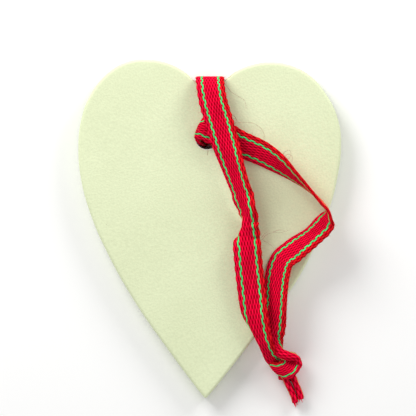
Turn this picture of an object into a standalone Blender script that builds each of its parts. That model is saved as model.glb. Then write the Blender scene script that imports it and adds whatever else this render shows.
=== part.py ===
"""Wooden heart ornament on a ribbon loop, lying on its back.

A flat painted heart with a drilled hole, and one woven ribbon that runs from its first tail through a
knot, up over the notch between the lobes, down behind the heart, up through the hole and back to the
knot. Metres, +Z up, top of the heart toward +Y, origin under the middle of the heart.
"""

from math import asin, cos, pi, radians, sin

import bmesh
import bpy
import numpy as np
from mathutils import Vector

MM = 0.001

# Heart
HEART_WIDTH = 0.0762
HEART_LENGTH = 0.0980
HEART_THICKNESS = 0.0060
EDGE_ROUND = 0.0008
HOLE_DIAMETER = 0.0064
HOLE_RIM_EASE = 0.0003
HOLE_OFF_CENTRE = -0.0008
HOLE_BELOW_TOP = 0.0226

# Ribbon
RIBBON_WIDTH = 0.0080
RIBBON_THICKNESS = 0.0008
IN_HOLE = 0.68
TIGHT = 0.78
CLEARANCE = 0.0003

# Fineness
OUTLINE_STEPS = 6
HOLE_SIDES = 32
RING_TURN = radians(20)
RING_RUN = 0.0040
ROUTE_SAMPLES = 2400
CURL_STEPS = 32
STRIP_SHARES = (-0.5, -0.31, -0.16, -0.075, 0, 0.075, 0.16, 0.31, 0.5)

# Outline of the heart, from the tip up the right side and down the left, as shares of its width and length
HEART_OUTLINE = (
    (-0.016, -0.500), (-0.006, -0.494), (0.146, -0.346), (0.314, -0.174), (0.390, -0.068),
    (0.458, 0.066), (0.484, 0.145), (0.500, 0.245), (0.490, 0.318), (0.447, 0.393), (0.370, 0.459),
    (0.298, 0.485), (0.235, 0.492), (0.164, 0.485), (0.105, 0.467), (0.062, 0.443), (0.001, 0.414),
    (-0.053, 0.435), (-0.097, 0.464), (-0.159, 0.489), (-0.235, 0.500), (-0.311, 0.494),
    (-0.383, 0.463), (-0.455, 0.394), (-0.489, 0.322), (-0.500, 0.240), (-0.489, 0.145),
    (-0.451, 0.039), (-0.391, -0.068), (-0.289, -0.210), (-0.163, -0.352), (-0.025, -0.494),
)
NOTCH = 16

HOLE_Y = HEART_LENGTH / 2 - HOLE_BELOW_TOP
UNDER_HEART = RIBBON_THICKNESS + 2 * CLEARANCE
TILT = asin(UNDER_HEART / (HEART_LENGTH / 2 + HOLE_Y + HOLE_DIAMETER / 2))


def new_collection(name):
    collection = bpy.data.collections.new(name)
    bpy.context.scene.collection.children.link(collection)
    return collection


def new_material(name, colour, roughness):
    material = bpy.data.materials.new(name)
    material.use_nodes = True
    shader = material.node_tree.nodes["Principled BSDF"]
    shader.inputs["Base Color"].default_value = (*colour, 1.0)
    shader.inputs["Roughness"].default_value = roughness
    shader.inputs["Metallic"].default_value = 0.0
    return material


def add_object(name, mesh, collection, material=None):
    obj = bpy.data.objects.new(name, mesh)
    collection.objects.link(obj)
    if material:
        mesh.materials.append(material)
    return obj


def outline_mesh():
    """The heart's flat outline as a filled curve of the board's thickness, made a welded mesh."""
    curve = bpy.data.curves.new("heart_outline", "CURVE")
    curve.dimensions = "2D"
    curve.fill_mode = "BOTH"
    curve.extrude = HEART_THICKNESS / 2
    curve.resolution_u = OUTLINE_STEPS
    spline = curve.splines.new("BEZIER")
    spline.bezier_points.add(len(HEART_OUTLINE) - 1)
    spline.use_cyclic_u = True
    for index, (point, (x, y)) in enumerate(zip(spline.bezier_points, HEART_OUTLINE)):
        point.co = (x * HEART_WIDTH, y * HEART_LENGTH, 0)
        handle = "VECTOR" if index == NOTCH else "AUTO"
        point.handle_left_type = handle
        point.handle_right_type = handle
    guide = bpy.data.objects.new("heart_outline", curve)
    bpy.context.scene.collection.objects.link(guide)
    bpy.context.view_layer.update()
    depsgraph = bpy.context.evaluated_depsgraph_get()
    mesh = bpy.data.meshes.new_from_object(guide.evaluated_get(depsgraph))
    bpy.data.objects.remove(guide)
    bm = bmesh.new()
    bm.from_mesh(mesh)
    bmesh.ops.remove_doubles(bm, verts=bm.verts, dist=0.00001)
    bmesh.ops.dissolve_limit(bm, angle_limit=radians(0.5), verts=bm.verts, edges=bm.edges)
    bm.to_mesh(mesh)
    bm.free()
    return mesh


def hole_cutter(collection):
    """A drill's profile turned about the hole's axis, flared where the hole's rims are eased."""
    radius = HOLE_DIAMETER / 2
    half = HEART_THICKNESS / 2
    beyond = HOLE_RIM_EASE + CLEARANCE
    profile = (
        (0, half + CLEARANCE),
        (radius + beyond, half + CLEARANCE),
        (radius, half - HOLE_RIM_EASE),
        (radius, HOLE_RIM_EASE - half),
        (radius + beyond, -half - CLEARANCE),
        (0, -half - CLEARANCE),
    )
    bm = bmesh.new()
    corners = [bm.verts.new((x, 0, z)) for x, z in profile]
    for upper, lower in zip(corners, corners[1:]):
        bm.edges.new((upper, lower))
    mesh = bpy.data.meshes.new("hole_cutter")
    bm.to_mesh(mesh)
    bm.free()
    cutter = add_object("hole_cutter", mesh, collection)
    turn = cutter.modifiers.new("turn", "SCREW")
    turn.angle = 2 * pi
    turn.steps = HOLE_SIDES
    turn.render_steps = HOLE_SIDES
    turn.use_merge_vertices = True
    turn.merge_threshold = 0.00001
    cutter.hide_render = True
    cutter.display_type = "WIRE"
    return cutter


def build_heart(parts, cutters):
    paint = new_material("pale_green_paint", (0.78, 0.86, 0.60), 0.55)
    heart = add_object("heart", outline_mesh(), parts, paint)
    cutter = hole_cutter(cutters)
    cutter.parent = heart
    cutter.location = (HOLE_OFF_CENTRE, HOLE_Y, 0)
    rounding = heart.modifiers.new("rounded edges", "BEVEL")
    rounding.width = EDGE_ROUND
    rounding.segments = 2
    rounding.limit_method = "ANGLE"
    rounding.angle_limit = radians(45)
    drill = heart.modifiers.new("hole", "BOOLEAN")
    drill.operation = "DIFFERENCE"
    drill.object = cutter
    heart.rotation_euler = (TILT, 0, 0)
    heart.location = board_point(0, 0, -HEART_THICKNESS / 2)
    return heart


def board_point(x, y, above_front):
    """A point at this height over the heart's front face, which slopes because the heart leans on its ribbon."""
    across = HEART_LENGTH / 2 * sin(TILT) + HEART_THICKNESS * cos(TILT)
    slope = Vector((x, y * cos(TILT), y * sin(TILT) + across))
    return slope + above_front * Vector((0, -sin(TILT), cos(TILT)))


def wall_point(degrees, above_front):
    """A point of the ribbon's middle on the wall of the hole, and the direction of the ribbon's width there."""
    radius = HOLE_DIAMETER / 2 - CLEARANCE - RIBBON_THICKNESS / 2
    angle = radians(degrees)
    x = HOLE_OFF_CENTRE + radius * cos(angle)
    y = HOLE_Y + radius * sin(angle)
    return board_point(x, y, above_front), (sin(angle), -cos(angle), 0)


def table_point(x, y, z):
    return Vector((x, y, z)) * MM


def front_point(x, y, z):
    return board_point(x * MM, y * MM, z * MM)


def curled(degrees, share=1, at=0, gather=1, shear=0):
    """A form of the ribbon: how far it curls, over what share of its width, where, how it gathers and shears."""
    return (degrees, share, at, gather, shear)


FLAT = curled(0)
FOLDED = curled(170, share=0.26, gather=TIGHT)
TAIL = curled(170, share=0.16, gather=TIGHT)
TAIL_END = curled(170, share=0.25, gather=0.62)


def ribbon_stations():
    """The ribbon's route from tail to tail: its middle, the direction of its width there, and its form."""
    under = UNDER_HEART / 2 / MM
    wall_low, width_low = wall_point(218, -0.93 * HEART_THICKNESS)
    wall_middle, width_middle = wall_point(195, -0.5 * HEART_THICKNESS)
    wall_high, width_high = wall_point(170, -0.15 * HEART_THICKNESS)
    wall_top, width_top = wall_point(156, CLEARANCE + 0.25 * RIBBON_THICKNESS)
    notch_high = front_point(0.10, 43.5, 1.9)
    notch_middle = front_point(0.07, 43.75, 0) - Vector((0, 0, HEART_THICKNESS / 2))
    return (
        (table_point(24.85, -50.4, 3.1), (-1, -0.10, 0), TAIL_END),
        (table_point(24.5, -48.9, 3.5), (-0.96, -0.28, 0), TAIL),
        (table_point(23.8, -47.2, 3.5), (-0.92, -0.42, 0), TAIL),
        (table_point(22.9, -45.4, 3.8), (-0.88, -0.47, 0), TAIL),
        (table_point(22.1, -43.5, 4.1), (-0.86, -0.50, 0), TAIL),
        (table_point(20.7, -40.9, 4.6), (-0.70, -0.71, 0), FOLDED),
        (table_point(17.8, -38.6, 5.3), (-0.78, -0.62, 0), curled(150, share=0.28, at=0.14, gather=0.80)),
        (table_point(16.55, -36.9, 7.1), (-0.80, -0.50, -0.25), curled(150, share=0.24, at=0.12, gather=0.80)),
        (table_point(15.3, -34.3, 8.9), (-0.85, -0.36, -0.38), curled(150, share=0.24, at=0.12, gather=0.88)),
        (table_point(14.0, -30.9, 9.9), (-0.93, -0.25, -0.27), curled(125, share=0.26, at=0.15, gather=0.96)),
        (front_point(12.9, -25.2, 4.6), (-0.96, -0.18, -0.2), curled(50, share=0.45, at=0.24)),
        (front_point(12.15, -18.3, 4.4), (-0.99, -0.08, -0.1), curled(20, share=0.80, at=0.10)),
        (front_point(11.3, -10.4, 4.6), (-1, -0.05, 0), curled(5)),
        (front_point(10.85, -5.0, 5.0), (-1, 0, 0), curled(5)),
        (front_point(10.5, -1.2, 5.0), (-1, 0, -0.05), curled(110, share=0.30, at=0.22)),
        (front_point(10.2, 2.0, 5.0), (-0.72, -0.05, -0.69), curled(110, share=0.36, at=0.04)),
        (front_point(10.45, 4.9, 5.0), (-0.46, -0.12, -0.88), curled(50, share=0.34, at=-0.20)),
        (front_point(9.55, 8.7, 4.9), (-0.63, -0.20, -0.75), curled(35, share=0.30, at=-0.22)),
        (front_point(8.1, 13.8, 4.9), (-0.68, -0.28, -0.68), curled(10)),
        (front_point(6.4, 19.0, 5.1), (-0.78, -0.27, -0.55), curled(10)),
        (front_point(4.7, 24.6, 5.3), (-0.92, -0.26, -0.25), curled(8)),
        (front_point(2.6, 31.6, 5.4), (-0.96, -0.26, 0), curled(4)),
        (front_point(0.9, 37.6, 5.5), (-0.99, -0.14, 0), curled(2)),
        (front_point(0.25, 41.5, 4.5), (-1, -0.02, 0), FLAT),
        (notch_high, (-1, 0, 0), FLAT),
        (notch_middle, (-1, 0, 0), FLAT),
        (table_point(0.02, 43.35, under + 0.45), (-1, 0, 0), FLAT),
        (table_point(-0.05, 41.6, under), (-1, 0, 0), curled(0, gather=0.97)),
        (table_point(-0.3, 36.5, under), (-1, 0, 0), curled(0, gather=0.85)),
        (table_point(-0.8, 30.5, under), (-0.99, 0.1, 0), curled(0, gather=IN_HOLE)),
        (table_point(-1.5, 26.4, under + 0.15), (-0.97, 0.23, 0), curled(0, gather=0.72 * IN_HOLE)),
        (wall_low, width_low, curled(90, gather=0.72 * IN_HOLE)),
        (wall_middle, width_middle, curled(115, gather=0.95 * IN_HOLE)),
        (wall_high, width_high, curled(124, gather=IN_HOLE)),
        (wall_top, width_top, curled(110, gather=IN_HOLE, shear=1)),
        (front_point(-3.25, 29.35, 1.5), (0.40, 0.92, 0), curled(20, gather=0.76, shear=1)),
        (front_point(-1.95, 29.35, 2.2), (0.45, 0.89, 0), curled(15, gather=0.85, shear=0.5)),
        (front_point(0.80, 28.45, 2.2), (0.42, 0.91, 0.10), curled(10, gather=0.95)),
        (front_point(4.2, 27.1, 1.9), (0.38, 0.90, 0.22), curled(5)),
        (front_point(8.2, 25.0, 2.1), (0.42, 0.83, 0.36), curled(5)),
        (front_point(15.6, 21.7, 2.9), (0.42, 0.74, 0.52), curled(5)),
        (front_point(19.95, 19.0, 3.8), (0.38, 0.56, 0.74), curled(5)),
        (front_point(24.4, 15.4, 4.5), (0.22, 0.27, 0.94), curled(5)),
        (front_point(27.6, 12.6, 4.7), (0.09, 0.12, 0.99), curled(5)),
        (front_point(32.4, 7.7, 4.7), (-0.05, -0.04, 1), curled(5)),
        (front_point(34.4, 5.0, 4.4), (0.10, -0.14, 0.98), curled(5)),
        (front_point(33.6, 2.5, 3.9), (0.40, -0.48, 0.78), curled(30, share=0.30, at=0.28)),
        (front_point(29.4, -2.0, 3.8), (0.40, -0.48, 0.78), curled(40, share=0.30, at=0.28)),
        (front_point(24.6, -5.8, 3.3), (0.53, -0.60, 0.60), curled(25, share=0.30, at=0.28)),
        (front_point(21.1, -8.8, 2.9), (0.68, -0.48, 0.55), curled(8)),
        (front_point(19.8, -12.4, 2.8), (0.84, -0.20, 0.50), curled(5)),
        (front_point(19.2, -17.1, 2.8), (0.84, -0.05, 0.54), curled(5)),
        (front_point(18.9, -23.0, 2.9), (0.82, 0.02, 0.57), curled(5)),
        (table_point(18.2, -28.0, 8.4), (0.93, 0.05, 0.36), curled(15)),
        (table_point(17.7, -31.0, 8.1), (0.96, 0.15, 0.14), curled(30, share=0.60, at=0.10, gather=0.96)),
        (table_point(18.2, -33.5, 7.6), (0.86, 0.46, 0.2), curled(100, share=0.40, at=-0.10, gather=0.88)),
        (table_point(20.2, -35.7, 7.7), (0.62, 0.78, 0), curled(175, share=0.44, gather=0.88)),
        (table_point(22.7, -36.9, 8.0), (0.60, 0.80, 0), curled(175, share=0.44, gather=0.84)),
        (table_point(25.1, -37.6, 7.2), (0.74, 0.66, -0.1), FOLDED),
        (table_point(26.0, -39.2, 5.4), (0.90, 0.30, -0.3), FOLDED),
        (table_point(25.7, -40.5, 3.0), (0.70, 0.70, 0), curled(120, share=0.5, gather=TIGHT)),
        (table_point(23.8, -40.9, 1.1), (-0.15, 0.98, 0), curled(40, gather=TIGHT)),
        (table_point(20.9, -40.7, 0.95), (-0.40, 0.92, 0), curled(0, gather=TIGHT)),
        (table_point(18.8, -40.2, 1.8), (-0.62, 0.78, 0), curled(40, gather=TIGHT, shear=1)),
        (table_point(18.3, -40.4, 3.6), (-0.62, 0.78, 0), curled(60, gather=TIGHT, shear=1)),
        (table_point(19.2, -41.0, 5.7), (-0.64, 0.77, 0), curled(55, gather=0.74, shear=1)),
        (table_point(21.3, -41.1, 6.4), (-0.60, 0.80, 0), curled(45, gather=0.74, shear=1)),
        (table_point(23.2, -39.8, 6.2), (-0.84, 0.54, 0), curled(35, gather=0.74, shear=0.5)),
        (table_point(24.1, -38.0, 5.2), (-0.78, 0.62, 0), curled(50, gather=0.70)),
        (table_point(24.4, -36.9, 3.8), (-0.90, 0.40, 0), curled(90, gather=0.66)),
        (table_point(23.4, -38.4, 3.3), (0.30, 0.75, 0.5), curled(120, share=0.6, gather=0.70)),
        (table_point(23.8, -41.0, 3.6), (0.95, 0.20, 0), TAIL),
        (table_point(24.3, -43.1, 3.8), (0.97, 0.20, 0), TAIL),
        (table_point(25.15, -45.4, 3.7), (0.92, 0.38, 0), TAIL),
        (table_point(26.05, -47.5, 3.5), (0.94, 0.34, 0), TAIL),
        (table_point(26.5, -49.4, 3.1), (0.97, 0.20, 0), TAIL_END),
    )


def through(knots, values, at):
    """A smooth line through hand-chosen values, with slopes that suit unevenly spaced knots."""
    spans = np.diff(knots)[:, None]
    rises = np.diff(values, axis=0) / spans
    inner = (rises[:-1] * spans[1:] + rises[1:] * spans[:-1]) / (spans[:-1] + spans[1:])
    slopes = np.vstack([rises[:1], inner, rises[-1:]])
    index = np.clip(np.searchsorted(knots, at, side="right") - 1, 0, len(knots) - 2)
    span = spans[index]
    t = ((at - knots[index])[:, None]) / span
    start, end = values[index], values[index + 1]
    return (
        (2 * t**3 - 3 * t**2 + 1) * start
        + (t**3 - 2 * t**2 + t) * span * slopes[index]
        + (3 * t**2 - 2 * t**3) * end
        + (t**3 - t**2) * span * slopes[index + 1]
    )


def ribbon_rings():
    """Rings along the route: a new one wherever the ribbon has turned, twisted or curled enough, or run far enough."""
    stations = ribbon_stations()
    places = np.array([tuple(station[0]) for station in stations])
    widths = np.array([station[1] for station in stations], float)
    forms = np.array([station[2] for station in stations], float)
    knots = np.concatenate([[0], np.cumsum(np.linalg.norm(np.diff(places, axis=0), axis=1))])
    at = np.linspace(0, knots[-1], ROUTE_SAMPLES)
    middle = through(knots, places, at)
    forward = np.gradient(middle, axis=0)
    forward /= np.linalg.norm(forward, axis=1)[:, None]
    form = through(knots, forms, at)
    across = through(knots, widths, at)
    squared = 1 - np.clip(form[:, 4:], 0, 1)
    across -= squared * forward * np.sum(across * forward, axis=1)[:, None]
    across /= np.linalg.norm(across, axis=1)[:, None]
    rings = []
    last = 0
    for i in range(len(at)):
        turned = np.arccos(np.clip(forward[i] @ forward[last], -1, 1))
        twisted = np.arccos(np.clip(across[i] @ across[last], -1, 1))
        curled = radians(abs(form[i, 0] - form[last, 0])) / 2
        run = at[i] - at[last]
        if i in (0, len(at) - 1) or turned + twisted + curled > RING_TURN or run > RING_RUN:
            rings.append((middle[i], forward[i], across[i], form[i]))
            last = i
    return rings


def strip_point(ring, share):
    """The place on the ribbon's mid-surface at this share of its width, from the ring's curl."""
    middle, forward, across, (curl, crease, curl_at, gather, _) = ring
    steps = np.linspace(0, share, CURL_STEPS + 1)
    bend = np.clip((steps - curl_at) / crease, -0.5, 0.5) - np.clip(-curl_at / crease, -0.5, 0.5)
    angle = radians(curl) * bend
    length = RIBBON_WIDTH * gather * share / CURL_STEPS
    centres = (angle[1:] + angle[:-1]) / 2
    outward = np.cross(forward, across)
    outward /= np.linalg.norm(outward)
    return middle + length * (np.sum(np.cos(centres)) * across - np.sum(np.sin(centres)) * outward)


def build_ribbon(parts):
    weave = new_material("red_ribbon", (0.72, 0.01, 0.03), 0.75)
    rings = ribbon_rings()
    columns = len(STRIP_SHARES) - 1
    rows = len(rings) - 1
    bm = bmesh.new()
    bmesh.ops.create_grid(bm, x_segments=columns, y_segments=rows, size=0.5)
    for vert in bm.verts:
        column = round((vert.co.x + 0.5) * columns)
        row = round((vert.co.y + 0.5) * rows)
        vert.co = strip_point(rings[row], STRIP_SHARES[column])
    mesh = bpy.data.meshes.new("ribbon")
    bm.to_mesh(mesh)
    bm.free()
    ribbon = add_object("ribbon", mesh, parts, weave)
    ribbon.data.shade_smooth()
    body = ribbon.modifiers.new("ribbon thickness", "SOLIDIFY")
    body.thickness = RIBBON_THICKNESS
    body.offset = 0
    return ribbon


def main():
    for obj in list(bpy.data.objects):
        bpy.data.objects.remove(obj)
    parts = new_collection("heart_ornament")
    cutters = new_collection("cutters")
    build_heart(parts, cutters)
    build_ribbon(parts)


main()
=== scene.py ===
"""Dresses the wooden heart ornament: painted board, woven ribbon, stray fibres and a plain pale stage."""

from math import asin, cos, pi, radians, sin

import bmesh
import bpy
import numpy as np
from bpy.props import FloatProperty, FloatVectorProperty, PointerProperty
from mathutils import Matrix, Vector, geometry


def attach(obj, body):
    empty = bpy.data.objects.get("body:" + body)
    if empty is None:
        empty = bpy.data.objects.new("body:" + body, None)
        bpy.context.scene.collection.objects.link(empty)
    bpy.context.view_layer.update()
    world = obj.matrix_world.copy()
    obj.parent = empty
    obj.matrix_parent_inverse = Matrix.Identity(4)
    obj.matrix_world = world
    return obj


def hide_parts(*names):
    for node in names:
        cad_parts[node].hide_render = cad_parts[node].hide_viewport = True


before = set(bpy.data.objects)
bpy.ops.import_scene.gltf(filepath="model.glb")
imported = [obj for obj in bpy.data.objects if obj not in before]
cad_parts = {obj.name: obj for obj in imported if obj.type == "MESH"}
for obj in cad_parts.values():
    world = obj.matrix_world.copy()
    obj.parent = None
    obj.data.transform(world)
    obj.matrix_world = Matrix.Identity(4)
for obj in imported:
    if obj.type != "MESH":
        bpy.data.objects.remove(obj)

bl_info = {
    "name": "Wooden heart ornament",
    "version": (1, 0, 0),
    "blender": (4, 5, 0),
    "location": "View3D > Sidebar > Ornament",
    "description": "Builds a painted wooden heart on a woven ribbon loop",
    "category": "Add Mesh",
}

MM = 0.001

# The photograph is a square of this many pixels, and the origin is seen at this pixel of it
PHOTO_SIDE = 416
PIXEL = 0.29 * MM
PHOTO_MIDDLE = (209.7, 229.0)
CAMERA_HEIGHT = 0.5

# The floor's side, and how far it is under the table's height so that nothing lies in it
FLOOR_SIDE = 3.0
FLOOR_DROP = 0.02 * MM

# The board's outline from its tip up the right side and down the left, as shares of its width and length
HEART_OUTLINE = (
    (-0.016, -0.500), (-0.006, -0.494), (0.146, -0.346), (0.314, -0.174), (0.390, -0.068),
    (0.458, 0.066), (0.484, 0.145), (0.500, 0.245), (0.490, 0.318), (0.447, 0.393), (0.370, 0.459),
    (0.298, 0.485), (0.235, 0.492), (0.164, 0.485), (0.105, 0.467), (0.062, 0.443), (0.001, 0.414),
    (-0.053, 0.435), (-0.097, 0.464), (-0.159, 0.489), (-0.235, 0.500), (-0.311, 0.494),
    (-0.383, 0.463), (-0.455, 0.394), (-0.489, 0.322), (-0.500, 0.240), (-0.489, 0.145),
    (-0.451, 0.039), (-0.391, -0.068), (-0.289, -0.210), (-0.163, -0.352), (-0.025, -0.494),
)
NOTCH = 16

# Warp threads across the ribbon, the counts at which red and green change, and the shares of the width there.
# The green ones, a pair near each edge, are finer than the red ones.
WARPS = 20
WARP_EDGES = (0, 3, 5, 15, 17, 20)
EDGE_SHARES = (-0.5, -0.342, -0.258, 0.258, 0.342, 0.5)


def linear(code):
    """Linear colour of an sRGB hex code such as 3366CC."""
    parts = [int(code[at:at + 2], 16) / 255 for at in (0, 2, 4)]
    return tuple(v / 12.92 if v <= 0.04045 else ((v + 0.055) / 1.055) ** 2.4 for v in parts)


def add_node(tree, kind, inputs=(), **settings):
    """Adds a node with its options, and feeds its inputs, in order or by name, with values or nodes."""
    node = tree.nodes.new("ShaderNode" + kind)
    for name, value in settings.items():
        setattr(node, name, value)
    for key, value in inputs.items() if isinstance(inputs, dict) else enumerate(inputs):
        if isinstance(value, bpy.types.Node):
            value = next(output for output in value.outputs if output.enabled)
        if isinstance(value, bpy.types.NodeSocket):
            tree.links.new(value, node.inputs[key])
        else:
            node.inputs[key].default_value = value
    return node


def new_material(name, roughness, ior=1.5, specular=0.5):
    """A material whose nodes are only the output and the Principled shader, with this surface."""
    material = bpy.data.materials.new(name)
    material.use_nodes = True
    tree = material.node_tree
    shader = tree.nodes["Principled BSDF"]
    shader.inputs["Roughness"].default_value = roughness
    shader.inputs["IOR"].default_value = ior
    shader.inputs["Specular IOR Level"].default_value = specular
    return material, tree, shader


def size(name, description, default):
    return FloatProperty(
        name=name, description=description, default=default, unit="LENGTH", subtype="DISTANCE",
    )


def power(name, description, watts):
    return FloatProperty(name=name, description=description, default=watts, unit="POWER")


def colour(name, description, code):
    return FloatVectorProperty(
        name=name, description=description, default=linear(code), subtype="COLOR", min=0, max=1,
    )


class HeartSettings(bpy.types.PropertyGroup):
    width: size("Width", "Across both lobes", 0.0762)
    length: size("Length", "From the lobes' tops to the tip", 0.0980)
    thickness: size("Thickness", "Of the board", 0.0060)
    edge_round: size("Edge rounding", "Radius that sanding left on the edges", 0.0008)
    hole_diameter: size("Hole diameter", "Of the drill", 0.0064)
    hole_off_centre: size("Hole off centre", "How far right of the middle the hole was drilled", -0.0008)
    hole_below_top: size("Hole below top", "From the lobes' tops to the hole's middle", 0.0226)
    paint: colour("Paint", "Pale green paint where it is thick", "E1E9C2")
    thin_paint: colour("Thin paint", "Where less paint was left", "DAE2BA")
    bare_wood: colour("Bare wood", "Where the paint has chipped", "9C8F6E")
    pale_rim: colour("Primer", "Where the hole's rim is worn", "F4EFE2")
    # Painted shade: the hole's wall is coloured dark so that the hole's inside looks shadowed
    painted_hole_shade: colour("Hole's wall", "Dark stain inside the hole", "1C4A42")


class RibbonSettings(bpy.types.PropertyGroup):
    width: size("Width", "From selvedge to selvedge", 0.0080)
    thickness: size("Thickness", "Through the weave", 0.0008)
    clearance: size("Clearance", "Between the ribbon and what it touches", 0.0003)
    relief: size("Weave relief", "How far each warp thread stands out", 0.00012)
    red: colour("Red warps", "Of the ribbon's ground", "F00038")
    # Painted light: an orange-red tint on the margin of each strand that faces the lamps
    painted_lit_tint: colour("Warm margin", "Of the margin on the lit side of each strand", "E20C1C")
    green: colour("Green warps", "Of the line near each edge", "40EC88")
    shade: colour("Between red warps", "Where little light gets in between the threads", "98000E")
    green_shade: colour("Between green warps", "Where little light gets in beside the line", "0A6030")
    fibre: colour("Stray fibres", "Of the long loose fibres", "A87862")


class StageSettings(bpy.types.PropertyGroup):
    floor: colour("Floor", "Plain pale floor", "FCFCFB")
    left: power("Left lamp", "Large soft lamp above and to the left", 2.45)
    right: power("Right lamp", "Lower soft lamp above and to the right", 1.27)
    fill: FloatProperty(name="Fill light", description="Brightness of the surroundings", default=0.52, min=0)


class Lay:
    """How the board lies: on its tip and on the ribbon that passes under it from the notch to the hole."""

    def __init__(self, heart, ribbon):
        self.heart = heart
        self.ribbon = ribbon
        self.hole_y = heart.length / 2 - heart.hole_below_top
        self.under = ribbon.thickness + 2 * ribbon.clearance
        self.tilt = asin(self.under / (heart.length / 2 + self.hole_y + heart.hole_diameter / 2))
        across = heart.length / 2 * sin(self.tilt) + heart.thickness * cos(self.tilt)
        self.middle = Vector((0, 0, across))
        self.up_board = Vector((0, cos(self.tilt), sin(self.tilt)))
        self.normal = Vector((0, -sin(self.tilt), cos(self.tilt)))

    def board_point(self, x, y, above_front):
        """A point at this height over the board's front face."""
        return self.middle + Vector((x, 0, 0)) + y * self.up_board + above_front * self.normal

    def board_matrix(self):
        """Takes a point given from the middle of the board's front face to its place."""
        turn = Matrix((Vector((1, 0, 0)), self.up_board, self.normal)).transposed().to_4x4()
        return Matrix.Translation(self.middle) @ turn

    def front(self, x, y, z):
        return self.board_point(x * MM, y * MM, z * MM)

    def wall(self, degrees, above_front):
        """A point of the ribbon's middle on the wall of the hole, and which way its width runs there."""
        ribbon = self.ribbon
        radius = self.heart.hole_diameter / 2 - ribbon.clearance - ribbon.thickness / 2
        angle = radians(degrees)
        x = self.heart.hole_off_centre + radius * cos(angle)
        y = self.hole_y + radius * sin(angle)
        return self.board_point(x, y, above_front), (sin(angle), -cos(angle), 0)


def table_point(x, y, z):
    return Vector((x, y, z)) * MM


IN_HOLE = 0.68
TIGHT = 0.78


def curled(degrees, share=1, at=0, gather=1, shear=0):
    """A form of the ribbon: its curl, over what share of its width, where, its gather and its shear."""
    return (degrees, share, at, gather, shear)


FLAT = curled(0)
FOLDED = curled(170, share=0.26, gather=TIGHT)
TAIL = curled(170, share=0.16, gather=TIGHT)
TAIL_END = curled(170, share=0.25, gather=0.62)


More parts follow.
